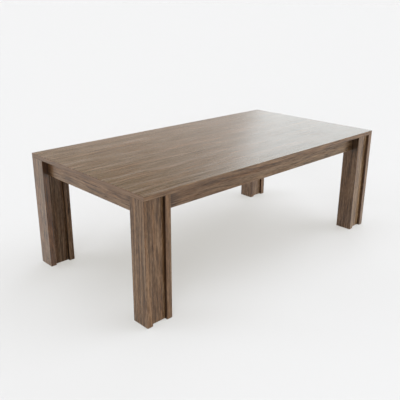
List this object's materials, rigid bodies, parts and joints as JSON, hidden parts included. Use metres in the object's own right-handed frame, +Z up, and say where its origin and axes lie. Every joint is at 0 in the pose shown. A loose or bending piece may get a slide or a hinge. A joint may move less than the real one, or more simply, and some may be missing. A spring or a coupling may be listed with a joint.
{
  "type": "dining table",
  "caption": "Rectangular dining table with a flat top, set-back aprons and block legs of I-shaped section flush with the corners, in grey-brown stained walnut.",
  "frame": {"origin": "on the floor, under the middle of the top", "axes": "+X along the length, +Y along the width from the front side to the rear, +Z up"},
  "size_m": [2.18, 1.134, 0.76],
  "materials": {
    "top_walnut": "satin lacquer, grain along the length",
    "frame_walnut": "satin lacquer, grain along each piece",
    "leg_walnut": "satin lacquer, grain upright",
    "backing_walnut": "sealed, not polished",
    "core_board": "raw board, hidden",
    "rail_timber": "planed, sealed",
    "dowel_beech": "raw turned beech",
    "plate_steel": "zinc plated",
    "fastener_steel": "zinc plated",
    "glide_nylon": "moulded, brown"
  },
  "bodies": {
    "root": {"apron_dowels": "dowel_beech", "bolt_nuts": "fastener_steel", "bolt_washers": "fastener_steel", "clip_screws": "fastener_steel", "end_apron_clips": "plate_steel", "front_apron": "frame_walnut", "front_edge_lipping": "frame_walnut", "front_left_corner_plate": "plate_steel", "front_left_foot_glides": "glide_nylon", "front_left_leg_dowels": "dowel_beech", "front_left_leg_inner_board": "leg_walnut", "front_left_leg_outer_board": "leg_walnut", "front_left_leg_web_board": "leg_walnut", "front_right_corner_plate": "plate_steel", "front_right_foot_glides": "glide_nylon", "front_right_leg_dowels": "dowel_beech", "front_right_leg_inner_board": "leg_walnut", "front_right_leg_outer_board": "leg_walnut", "front_right_leg_web_board": "leg_walnut", "glide_nails": "fastener_steel", "hanger_bolts": "fastener_steel", "left_cross_rail": "rail_timber", "left_edge_lipping": "frame_walnut", "left_end_apron": "frame_walnut", "long_apron_clips": "plate_steel", "plate_screws": "fastener_steel", "rail_dowels": "dowel_beech", "rail_screws": "fastener_steel", "rear_apron": "frame_walnut", "rear_edge_lipping": "frame_walnut", "rear_left_corner_plate": "plate_steel", "rear_left_foot_glides": "glide_nylon", "rear_left_leg_dowels": "dowel_beech", "rear_left_leg_inner_board": "leg_walnut", "rear_left_leg_outer_board": "leg_walnut", "rear_left_leg_web_board": "leg_walnut", "rear_right_corner_plate": "plate_steel", "rear_right_foot_glides": "glide_nylon", "rear_right_leg_dowels": "dowel_beech", "rear_right_leg_inner_board": "leg_walnut", "rear_right_leg_outer_board": "leg_walnut", "rear_right_leg_web_board": "leg_walnut", "right_cross_rail": "rail_timber", "right_edge_lipping": "frame_walnut", "right_end_apron": "frame_walnut", "top_backing_veneer": "backing_walnut", "top_core_panel": "core_board", "top_face_veneer": "top_walnut"}
  },
  "joints": []
}
